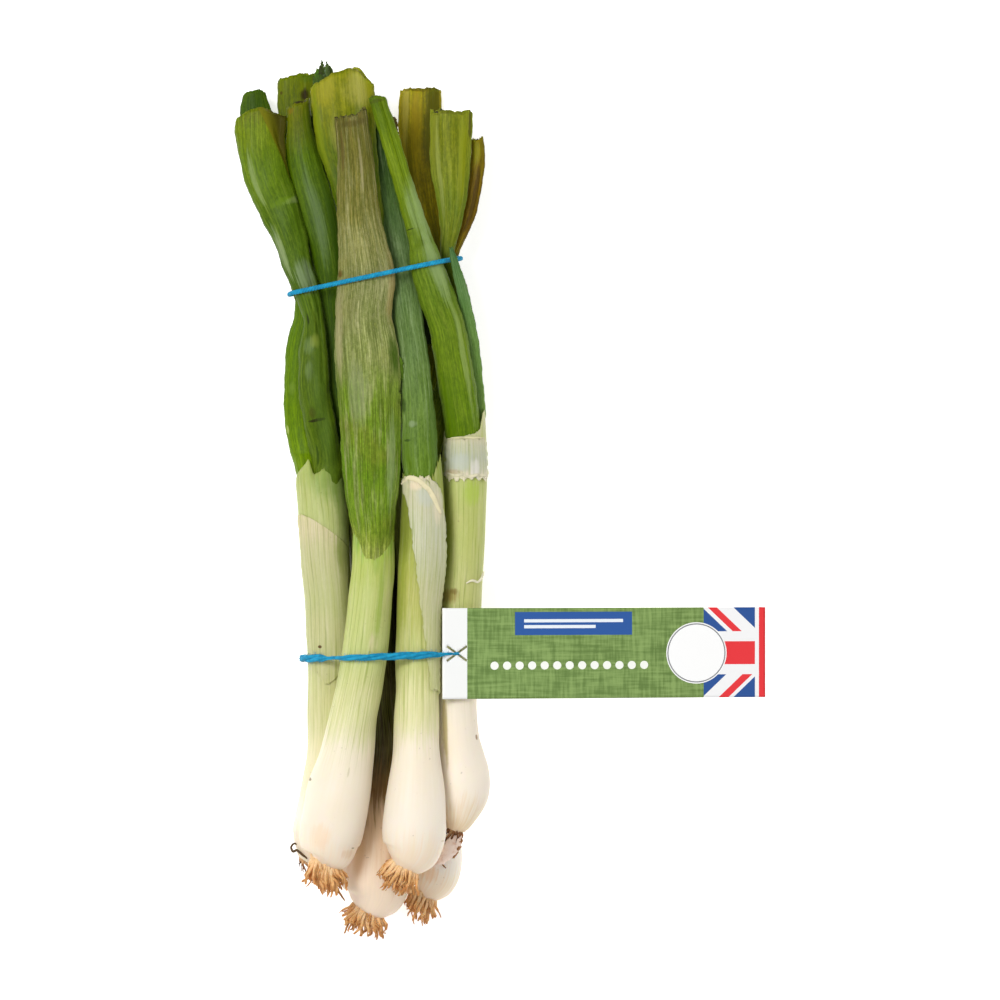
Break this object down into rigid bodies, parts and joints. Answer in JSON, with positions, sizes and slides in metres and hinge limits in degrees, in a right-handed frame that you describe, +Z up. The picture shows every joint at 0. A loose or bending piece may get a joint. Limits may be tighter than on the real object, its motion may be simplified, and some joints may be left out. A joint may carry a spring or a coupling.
{
  "type": "spring onion bunch",
  "caption": "Bunch of spring onions with white bulbs, root tufts and trimmed green tops, tied with two twisted bands, with a plain card tag, lying down.",
  "frame": {"origin": "middle of the underside of the whole bunch and its tag, on the surface it lies on", "axes": "+X to the right of the bunch, on the tag's side, +Y from the roots to the leaf tips, +Z up"},
  "size_m": [0.1584, 0.2606, 0.0365],
  "materials": {
    "shaft": "smooth, slightly waxy skin, white at the bulb and pale green above",
    "roots": "dry, matt strands",
    "leaf_green": "waxy, finely veined",
    "leaf_blue_green": "waxy with a pale bloom",
    "leaf_yellow_green": "waxy, finely veined",
    "leaf_dry": "dry, matt and fibrous",
    "band": "twisted, slightly fuzzy",
    "card": "printed card, semi-matt"
  },
  "bodies": {
    "root": {"onion_a_shaft": "shaft", "onion_b_shaft": "shaft", "onion_c_shaft": "shaft", "onion_d_shaft": "shaft", "onion_e_shaft": "shaft", "onion_f_shaft": "shaft", "onion_a_roots": "roots", "onion_b_roots": "roots", "onion_c_roots": "roots", "onion_d_roots": "roots", "onion_e_roots": "roots", "onion_f_roots": "roots", "onion_a_leaf_1": "leaf_green", "onion_a_leaf_2": "leaf_yellow_green", "onion_b_leaf_1": "leaf_dry", "onion_b_leaf_2": "leaf_yellow_green", "onion_c_leaf_1": "leaf_blue_green", "onion_c_leaf_2": "leaf_green", "onion_d_leaf_1": "leaf_green", "onion_d_leaf_2": "leaf_blue_green", "onion_d_leaf_3": "leaf_dry", "onion_e_leaf_1": "leaf_green", "onion_e_leaf_2": "leaf_yellow_green", "onion_f_leaf_1": "leaf_dry", "onion_f_leaf_2": "leaf_yellow_green", "band_upper": "band", "band_lower": "band", "tag": "card"}
  },
  "joints": []
}
